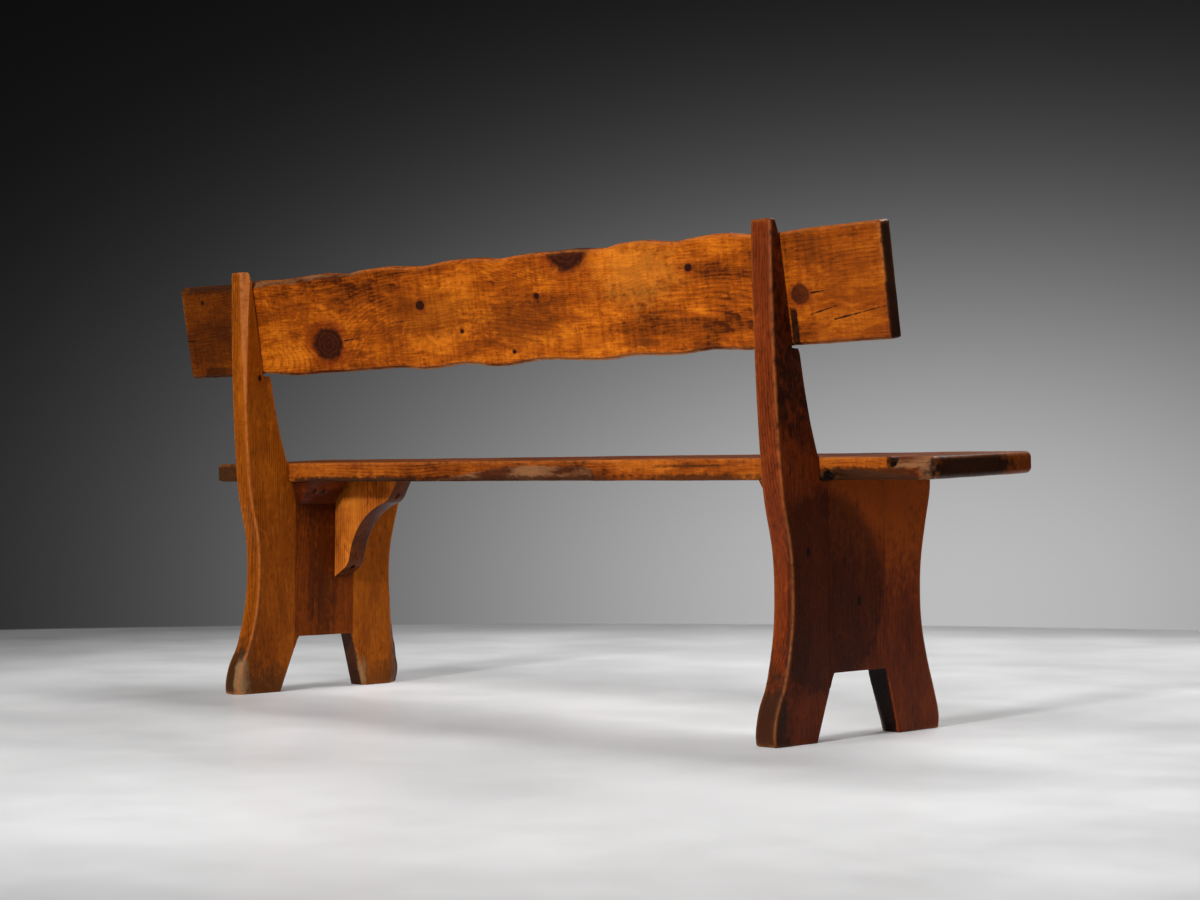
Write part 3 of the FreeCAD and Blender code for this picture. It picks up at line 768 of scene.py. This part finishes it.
foot_edge = ((-0.859, 0.6), (-0.803, 0.1), (-0.724, -1.1), (-0.670, -0.8), (-0.580, -5.0), (-0.548, -3.1),
             (-0.497, -1.1), (-0.445, -5.5), (-0.412, -6.5), (-0.328, -4.1), (-0.268, -8.4), (-0.205, -7.0),
             (-0.119, -2.8), (-0.080, -4.8), (-0.029, -9.4), (0.019, -9.0), (0.044, -5.5), (0.087, -3.0),
             (0.130, -6.0), (0.189, -8.2), (0.248, -3.6), (0.318, -4.1), (0.404, -5.6), (0.474, -5.1),
             (0.552, -7.4), (0.652, -0.9), (0.760, -3.2), (0.883, -2.6))
bark_edge = ((-0.859, 3.0), (-0.60, 4.0), (-0.52, 7.0), (-0.36, 4.0), (-0.25, 6.0), (-0.15, 4.0), (0.0, 5.0),
             (0.3, 4.0), (0.36, 6.0), (0.5, 11.0), (0.60, 9.0), (0.655, 15.0), (0.69, 12.0), (0.883, 9.0))
mm = 0.001
bark_starts = 0.33
foot_wane_height = 0.0055
foot_wane_depth = 0.005


def carve_plank():
    bm = blank(even(0.0, plank_size.x, 0.004), crowded(plank_size.y, 46, 0.7), crowded(plank_size.z, 9, 0.7))
    worn, bark = wear_highlight_and_bark_layers(bm)
    for vert in bm.verts:
        point = vert.co.copy()
        x = plank_foot.x + point.x
        edge = near_arris(point, plank_size, 0.004)
        radius = 0.0042 + 0.0012 * ripple(point, (20.0, 30.0, 30.0))
        moved, out = rounded(point, plank_size, radius)
        planed = 0.0004 * ripple(moved, (8.0, 12.0, 8.0)) + 0.00012 * ripple(moved, (70.0, 50.0, 50.0))
        moved -= out * (0.0004 + planed)
        top_gap = plank_size.y - point.y
        width = follow(bark_edge, x) * mm * (1.0 + 0.25 * ripple(point, (35.0, 0.0, 0.0), 2.0))
        short = 1.0 - top_gap / width - point.z / (width * 0.8)
        if short > 0.0:
            moved.y -= short * width * 0.5
            moved.z += short * width * 0.4
            if x > bark_starts:
                vert[bark] = min(1.0, short * 5.0)
        low = 1.0 - point.y / foot_wane_height - point.z / foot_wane_depth
        if low > 0.0:
            moved.y += low * 0.0026
            moved.z += low * 0.0024
            vert[bark] = max(vert[bark], min(1.0, low * 3.0))
        top = follow(top_edge, x) * mm + 0.0006 * ripple(point, (60.0, 0.0, 0.0), 6.0)
        foot = follow(foot_edge, x) * mm + 0.0006 * ripple(point, (60.0, 0.0, 0.0), 8.0)
        height = foot + (plank_size.y + top - foot) * moved.y / plank_size.y
        # The upper arrises are painted paler than the lower ones: rubbed wear and painted highlight.
        vert[worn] = edge * (1.0 - vert[bark]) * (0.1 if point.y < plank_size.y / 2 else 0.8)
        vert.co = plank_foot + Vector((moved.x, 0.0, 0.0)) + up_plank * height + towards_sitter * moved.z
    return bm


finish_piece("back_plank_carved", carve_plank(), plank_finish, ["back_plank"])

# %% [markdown]
# ## The side panels
#
# Each panel is three boards glued edge to edge, sawn to a waist, with an arch between its feet and
# a post at the back. A board is a blank whose two long edges are bent to an outline, so its
# lattice runs with the grain as the wood does. The panels spread a little towards the floor.
# Corners that were bark side are missing from a few arrises, and they are pushed back to a
# slanting plane like the seat's.
# %% Outlines of the boards
splay = 0.0145
splay_level = 0.44
board_thickness = 0.0415
left_outer = 0.694
right_outer = -0.672
rear_seam = 0.078
front_seam = -0.072
arch_top = 0.107
post_top = 0.82
post_starts = 0.45
row_gap = 0.0065
rear_outline = ((0.0, 0.216), (0.02, 0.2175), (0.056, 0.209), (0.092, 0.191), (0.165, 0.173),
                (0.233, 0.168), (0.302, 0.172), (0.376, 0.189), (0.425, 0.196), (0.555, 0.206),
                (0.69, 0.212), (0.82, 0.214))
front_outline = ((0.0, -0.216), (0.024, -0.2175), (0.062, -0.206), (0.12, -0.186), (0.176, -0.173),
                 (0.233, -0.17), (0.285, -0.174), (0.34, -0.187), (0.391, -0.201), (0.425, -0.203))
inner_of_rear = ((0.0, 0.112), (0.083, 0.078), (0.4125, 0.078), (0.4129, 0.0976), (0.4495, 0.099),
                 (0.468, 0.1055), (0.505, 0.118), (0.562, 0.132), (0.6125, 0.142), (0.6193, 0.1458),
                 (0.6197, 0.1606), (0.80, 0.192), (0.82, 0.201))
inner_of_front = ((0.0, -0.104), (0.107, -0.074), (0.1075, -0.072), (0.43, -0.072))


def under_seat(y):
    return seat_hinge.z + math.tan(seat_tilt) * (seat_hinge.y - y)


def panel_x(outer, z, depth):
    """Where a plane some depth inside a panel is at a height z."""
    inward = -1.0 if outer > 0 else 1.0
    return outer + inward * (depth - splay * (splay_level - z))


# %% Board carving
def bitten(point, size, bites):
    """Missing bark-side corners: each from a height to another, with a width and a depth at its wide end."""
    gone = 0.0
    for wide_z, end_z, width, depth, outer_side in bites:
        left_over = (end_z - point.x) / (end_z - wide_z)
        if 0.0 < left_over:
            side_gap = size.y - point.y if outer_side else point.y
            short = left_over - (size.z - point.z) / width - side_gap / depth
            if short > 0.0:
                point.z -= short * width * 0.5
                point.y += short * depth * (-0.5 if outer_side else 0.5)
                gone = min(1.0, short * 8.0)
    return gone


def carve_board(outer, rows, inner_y, outer_y, top_z=None, bottom_z=None, bites=(), radii=(0.0009, 0.004),
                seed=0.0, wear_highlight_scale=1.0):
    """A board cut at the heights in rows. Its edges follow inner_y and outer_y, functions of the height."""
    bm = blank(rows, crowded(1.0, 26, 0.8), crowded(board_thickness, 9, 0.75))
    worn, bark = wear_highlight_and_bark_layers(bm)
    for vert in bm.verts:
        z, share, depth = vert.co
        width = abs(outer_y(z) - inner_y(z))
        size = Vector((rows[-1] - rows[0], width, board_thickness))
        point = Vector((z - rows[0], share * width, depth))
        post = 1.0 if z > post_starts else 0.0
        # Outer arrises and the post are painted pale, the glued seams not: rubbed wear and painted
        # highlight.
        edge = near_arris(point, size, 0.004) * max(share * share, post) * wear_highlight_scale
        radius = radii[0] + (radii[1] - radii[0]) * max(share, post)
        moved, out = rounded(point, size, min(radius, width * 0.4))
        moved -= out * (0.0003 + 0.0003 * ripple(moved, (9.0, 16.0, 9.0), seed))
        gone = bitten(moved, size, bites)
        share = moved.y / width
        z = rows[0] + moved.x
        y = inner_y(z) + (outer_y(z) - inner_y(z)) * share
        if top_z:
            low, high = bottom_z(y), top_z(y)
            z = low + (high - low) * moved.x / size.x
        # Missing corners on the post are painted pale too: wear and painted highlight.
        vert[worn] = max(edge, gone * (0.8 if post else 0.12))
        vert[bark] = 0.25 * gone
        vert.co = Vector((panel_x(outer, z, moved.z), y, z))
    return bm


def carve_rear(outer, bites, wear_highlight_scale, seed):
    steps = [0.0015, 0.003, 0.4125, 0.4129, 0.6193, 0.6197, 0.817, 0.8185]
    rows = sorted(even(0.0, post_top, row_gap) + steps)
    return carve_board(outer, rows, lambda z: linear(inner_of_rear, z), lambda z: follow(rear_outline, z),
                       bites=bites, seed=seed, wear_highlight_scale=wear_highlight_scale)


def carve_front(outer, bites, seed):
    rows = sorted(even(0.0, 0.42, row_gap) + [0.0015, 0.003, 0.1075, 0.418])
    return carve_board(outer, rows, lambda z: linear(inner_of_front, z), lambda z: follow(front_outline, z),
                       top_z=under_seat, bottom_z=lambda y: 0.0, bites=bites, seed=seed)


def carve_middle(outer, seed):
    rows = even(0.0, 0.31, row_gap)
    return carve_board(outer, rows, lambda z: front_seam, lambda z: rear_seam, top_z=under_seat,
                       bottom_z=lambda y: arch_top - max(0.0, y - 0.068) * 2.43, radii=(0.0009, 0.0009),
                       seed=seed, wear_highlight_scale=0.0)


# %% Board finishes
warm = (paint(154, 80, 13), paint(124, 59, 7), paint(58, 24, 4))
golden = (paint(166, 88, 14), paint(138, 68, 8), paint(74, 32, 5))
russet = (paint(118, 50, 16), paint(92, 35, 10), paint(46, 15, 5))
umber = (paint(126, 57, 8), paint(98, 41, 5), paint(44, 16, 3))
foot_grime = paint(52, 34, 18)
pale_end_grain = paint(132, 100, 68)
panel_pieces = (
    ("left_rear", left_outer, warm, (0.26, 0.72), ((0.615, 0.172, 0.006, 0.004, 2.0),),
     (((0.665, 0.17, 0.0), (0.05, 0.10, 0.05), 0.3, 1.0, foot_grime, 0.6),
      ((0.684, 0.215, 0.03), (0.019, 0.026, 0.115), 0.1, 0.7, foot_grime, 0.85),
      ((0.663, 0.212, 0.028), (0.0105, 0.02, 0.05), 0.2, 0.7, pale_end_grain, 0.85),
      ((0.665, 0.207, 0.085), (0.010, 0.014, 0.018), 0.7, 0.8, soot_and_shade, 0.8))),
    ("left_middle", left_outer, umber, (-0.02, 0.80), (),
     (((0.655, 0.036, 0.27), (0.02, 0.010, 0.15), 0.8, 1.0, paint(48, 18, 4), 0.55),
      ((0.655, 0.006, 0.25), (0.02, 0.02, 0.19), 0.7, 1.0, paint(62, 24, 4), 0.7),
      ((0.655, -0.022, 0.27), (0.02, 0.008, 0.14), 0.7, 1.0, paint(60, 24, 4), 0.6),
      # Painted shadow of the seat: darker just under it across the board.
      ((0.655, 0.0, 0.39), (0.02, 0.09, 0.05), 0.2, 1.0, paint(56, 20, 4), 0.7))),
    ("left_front", left_outer, golden, (-0.26, 0.73), (),
     (((0.665, -0.15, 0.0), (0.05, 0.08, 0.04), 0.3, 1.0, foot_grime, 0.5),
      ((0.665, -0.212, 0.08), (0.03, 0.03, 0.11), 0.2, 0.4, soot_and_shade, 0.9),
      ((0.686, -0.09, 0.05), (0.022, 0.03, 0.07), 0.1, 0.3, soot_and_shade, 0.85),
      ((0.662, -0.097, 0.02), (0.006, 0.010, 0.032), 0.2, 0.9, pale_end_grain, 0.8))),
    ("right_rear", right_outer, russet, (0.27, -0.73), ((0.30, 0.13, 0.008, 0.005, 2.0),),
     # Painted shade: the rear and lower part of the outer face is darker, with a curved edge.
     (((-0.674, 0.09, 0.235), (0.012, 0.154, 0.165), 1.0, 0.16, soot_and_shade, 0.6),
      # Painted shade on the post's outer side above the back plank.
      ((-0.678, 0.13, 0.72), (0.01, 0.085, 0.22), 0.0, 0.8, soot_and_shade, 0.85),
      ((-0.655, 0.22, 0.03), (0.05, 0.035, 0.13), 0.2, 0.8, paint(42, 24, 14), 0.9))),
    ("right_middle", right_outer, russet, (0.03, -0.83), ((0.22, 0.0, 0.010, 0.006, 3.0),),
     # Painted light: a lit area at the top front of the outer face.
     (((-0.674, -0.04, 0.40), (0.012, 0.12, 0.09), 0.8, 1.2, paint(160, 76, 14), 0.45),
      # Painted shade: the rear and lower part of the outer face is darker, with a curved edge.
      ((-0.674, 0.09, 0.235), (0.012, 0.154, 0.165), 1.0, 0.16, soot_and_shade, 0.6))),
    ("right_front", right_outer, russet, (-0.24, -0.74), (),
     # Painted light: a lit area at the top front of the outer face.
     (((-0.674, -0.09, 0.39), (0.012, 0.12, 0.12), 0.8, 1.2, paint(160, 76, 14), 0.5),
      # Dirt and painted shade: near black on the face of the arch.
      ((-0.652, -0.09, 0.05), (0.0215, 0.03, 0.07), 0.1, 0.15, paint(8, 6, 4), 0.96),)))
left_rear_bites = ((0.82, 0.48, 0.015, 0.016, True), (0.0, 0.105, 0.016, 0.017, True))
left_front_bites = ((0.0, 0.19, 0.030, 0.046, True), (0.0, 0.12, 0.008, 0.008, False))
right_front_bites = ((0.0, 0.096, 0.014, 0.010, False),)

# %% Boards
for index, (name, outer, tones, pith, knots, dirt_light_and_shade) in enumerate(panel_pieces):
    finish = pine(f"{name}_board_finish", "along z", *tones, pith, gap=0.0044, wander=0.035, knots=knots,
                  dirt_light_and_shade=dirt_light_and_shade, cloudiness=0.55)
    if name.endswith("rear"):
        bites, wear_highlight_scale = (left_rear_bites, 0.85) if outer > 0 else ((), 0.4)
        carved = carve_rear(outer, bites, wear_highlight_scale, index * 7.0)
    elif name.endswith("front"):
        carved = carve_front(outer, left_front_bites if outer > 0 else right_front_bites, index * 7.0)
    else:
        carved = carve_middle(outer, index * 7.0)
    finish_piece(f"{name}_board_carved", carved, finish, [f"{name}_board"])

# %% [markdown]
# ## Corbels and cleats
#
# A hollow-faced corbel and two short cleats hang on each panel and carry the seat. The cleats'
# shapes are already right in CAD, so each is a copy of its solid, merged and cleaned, with its
# arrises planed off by a bevel. The corbels were sawn with two round noses that the CAD solid
# leaves sharp. They are cut again from an outline, bevelled twice and bored for their screws. The
# hollow face and the other faces round the outline get a darker copy of the finish: painted shade.
# %% Block finishes
corbel_finish = pine(
    "corbel_pine_finish", "along z, crossways", paint(206, 118, 38), paint(174, 92, 25), paint(98, 42, 11),
    pith=(0.4, 0.12), gap=0.006, saw_marks=0.05)
# A darker copy of the corbel finish: painted shade for the hollow face.
corbel_shaded_face_finish = pine(
    "corbel_hollow_shaded_finish", "along z, crossways", paint(104, 50, 17), paint(74, 33, 10), paint(36, 14, 5),
    pith=(0.4, 0.12), gap=0.006, gloss=0.3)
cleat_finish = pine(
    "cleat_pine_finish", "along y", paint(104, 42, 12), paint(74, 27, 8), paint(34, 12, 5), pith=(0.45, 0.5))
block_bevel = 0.0013


def take_off_arrises(bm):
    """Bevels every sharp arris and sets the middle of each bevel pale, for rubbed wear and painted
    highlight.
    """
    sharp = [edge for edge in bm.edges if edge.calc_face_angle(0.0) > math.radians(35)]
    made = bmesh.ops.bevel(bm, geom=sharp, offset=block_bevel, segments=2, profile=0.5, affect="EDGES",
                           material=-1, clamp_overlap=True)
    new_faces = set(made["faces"])
    worn = bm.verts.layers.float["worn"]
    for vert in made["verts"]:
        if all(face in new_faces for face in vert.link_faces):
            vert[worn] = 0.7


def eased_copy(name):
    bm = bmesh.new()
    wear_highlight_and_bark_layers(bm)
    bm.from_mesh(nodes[name].data)
    bmesh.ops.remove_doubles(bm, verts=bm.verts, dist=1e-5)
    bmesh.ops.dissolve_limit(bm, angle_limit=math.radians(1), verts=bm.verts, edges=bm.edges)
    take_off_arrises(bm)
    return bm


for side in ("left", "right"):
    for block in ("rear_cleat", "front_cleat"):
        name = f"{side}_{block}"
        finish_piece(f"{name}_eased", eased_copy(name), cleat_finish, [name])

# %% Corbels
corbel_back_y = -0.022
corbel_thickness = 0.040
corbel_reach = 0.186
corbel_drop = 0.1955
top_nose = Vector((0.160, 0.042))
hollow = Vector((0.0775, 0.087))
foot_nose = Vector((0.042, 0.1695))
bores = (((0.165, 0.0297), "up"), ((0.022, 0.1745), "in"))
bore_radius = 0.0048
rod_length = 0.06
corner_radius = 0.013


def corbel_outline():
    """Points of the side view, given as the distance out from the panel and down from the seat."""
    pull = 2 * hollow - (top_nose + foot_nose) / 2
    curve = []
    for step in range(9):
        t = step / 8
        curve.append(top_nose * (1 - t) ** 2 + pull * 2 * t * (1 - t) + foot_nose * t * t)
    return [Vector((0.0, 0.0)), Vector((corbel_reach, 0.0))] + curve + [Vector((0.0, corbel_drop))]


def corbel_place(outer, out, down, y):
    z = under_seat(corbel_back_y) - down if down > 0.0 else under_seat(y)
    return Vector((panel_x(outer, z, board_thickness + out), y, z))


def carve_corbel(outer):
    bm = bmesh.new()
    wear_highlight_and_bark_layers(bm)
    far_y = corbel_back_y - corbel_thickness
    near = [bm.verts.new(corbel_place(outer, out, down, corbel_back_y)) for out, down in corbel_outline()]
    face = bm.faces.new(near)
    made = bmesh.ops.extrude_face_region(bm, geom=[face])["geom"]
    far = [vert for vert in made if isinstance(vert, bmesh.types.BMVert)]
    bmesh.ops.translate(bm, vec=(0.0, -corbel_thickness, 0.0), verts=far)
    for vert in far:
        if vert.co.z > under_seat(corbel_back_y) - 1e-4:
            vert.co.z = under_seat(far_y)
    bmesh.ops.recalc_face_normals(bm, faces=bm.faces)
    for side_face in bm.faces:
        # Faces round the outline, the hollow among them, take the darker copy painted as shade.
        side_face.material_index = 0 if abs(side_face.normal.y) > 0.5 else 1
    noses = [edge for edge in bm.edges if abs(edge.verts[0].co.y - edge.verts[1].co.y) > 0.03
             and math.radians(25) < edge.calc_face_angle_signed(0.0) < math.radians(70)]
    bmesh.ops.bevel(bm, geom=noses, offset=corner_radius, segments=6, profile=0.5, affect="EDGES",
                    material=-1, clamp_overlap=True)
    take_off_arrises(bm)
    return bm, len(noses)


def bore_tool(outer, spot, way):
    """A rod as wide as a screw's bore, that starts at the bottom of the bore."""
    bm = bmesh.new()
    bmesh.ops.create_cone(bm, cap_ends=True, segments=24, radius1=bore_radius, radius2=bore_radius,
                          depth=rod_length)
    bmesh.ops.translate(bm, vec=(0.0, 0.0, -rod_length / 2), verts=bm.verts)
    if way == "in":
        bmesh.ops.rotate(bm, cent=(0, 0, 0), verts=bm.verts,
                         matrix=Matrix.Rotation(math.radians(90 if outer > 0 else -90), 3, "Y"))
    for wall in bm.faces:
        wall.material_index = 1
    middle_y = corbel_back_y - corbel_thickness / 2
    bmesh.ops.translate(bm, vec=corbel_place(outer, *spot, middle_y), verts=bm.verts)
    return bm


def bored(bm, tools):
    """Cuts the tools out of a solid, and gives the result as a new mesh to work on."""
    body = as_object(bm, "uncut")
    cutters = [as_object(tool, "tool") for tool in tools]
    for cutter in cutters:
        cut = body.modifiers.new("bore", "BOOLEAN")
        cut.object = cutter
        cut.solver = "EXACT"
    result = bmesh.new()
    result.from_object(body, bpy.context.evaluated_depsgraph_get())
    for helper in [body] + cutters:
        bpy.data.objects.remove(helper)
    return result


for side, outer in (("left", left_outer), ("right", right_outer)):
    uncut, nose_count = carve_corbel(outer)
    result = bored(uncut, [bore_tool(outer, spot, way) for spot, way in bores])
    print(side, "corbel: noses", nose_count, "faces after boring", len(result.faces))
    carved = finish_piece(f"{side}_corbel_carved", result, corbel_finish, [f"{side}_corbel"])
    # The second material is the darker copy, painted shade.
    carved.data.materials.append(corbel_shaded_face_finish)

# %% [markdown]
# ## Screws, dowels and plugs
#
# The small fixings keep their CAD solids. Old screws are nearly black from stain and rust, so a
# dark metal with patchy roughness is enough, and the pegs are a paler hardwood.
# %% Fixings
def old_steel():
    material, tree, shader, place = new_material("old_screw_steel")
    rust = ramp(tree, mottle(tree, place, (400.0, 400.0, 400.0), 3.0), 0.4, 0.65)
    feed(tree, shader["Base Color"], blend(tree, rust, paint(58, 52, 48), paint(64, 34, 20)))
    feed(tree, shader["Roughness"], ramp(tree, rust, 0.0, 1.0, 0.38, 0.8))
    feed(tree, shader["Metallic"], ramp(tree, rust, 0.0, 1.0, 0.9, 0.2))
    return material


steel = old_steel()
peg_finish = pine("peg_wood_finish", "along y", paint(190, 140, 84), paint(160, 108, 58), paint(110, 66, 32),
                  pith=(0.5, 0.2), gap=0.002)
fixings = [name for name in nodes if any(kind in name for kind in ("screw", "dowel", "plug"))]
for name in fixings:
    coats = nodes[name].data.materials
    coats.clear()
    coats.append(steel if "screw" in name else peg_finish)
print("fixings dressed:", len(fixings))

seen_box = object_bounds()
sizes = {"cad": [list(corner) for corner in cad_box], "visual": [list(corner) for corner in seen_box]}
for label, box in sizes.items():
    print(label, [[round(value, 4) for value in corner] for corner in box])
